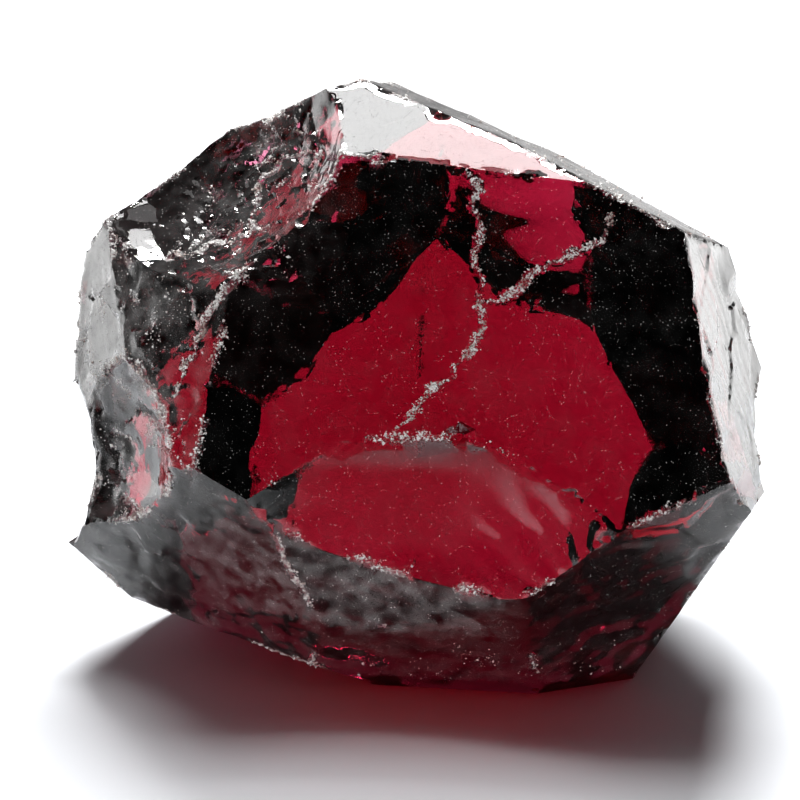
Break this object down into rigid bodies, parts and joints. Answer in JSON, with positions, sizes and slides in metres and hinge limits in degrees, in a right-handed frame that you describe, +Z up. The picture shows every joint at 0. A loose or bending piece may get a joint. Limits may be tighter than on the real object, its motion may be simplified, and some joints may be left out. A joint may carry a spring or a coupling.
{
  "type": "garnet crystal",
  "caption": "Broken piece of clear dark red garnet, bounded by flat and shell-shaped fracture faces, resting on one flat face.",
  "frame": {"origin": "centre of the bounding box, at the level of the resting face", "axes": "+Z up from the resting face, -Y out of the big front fracture face, +X to its right"},
  "size_m": [0.0176, 0.0134, 0.0149],
  "materials": {
    "garnet": "clear, glossy, dark red; fine white dust and crushed ridges"
  },
  "bodies": {
    "root": {"garnet_crystal": "garnet"}
  },
  "joints": []
}
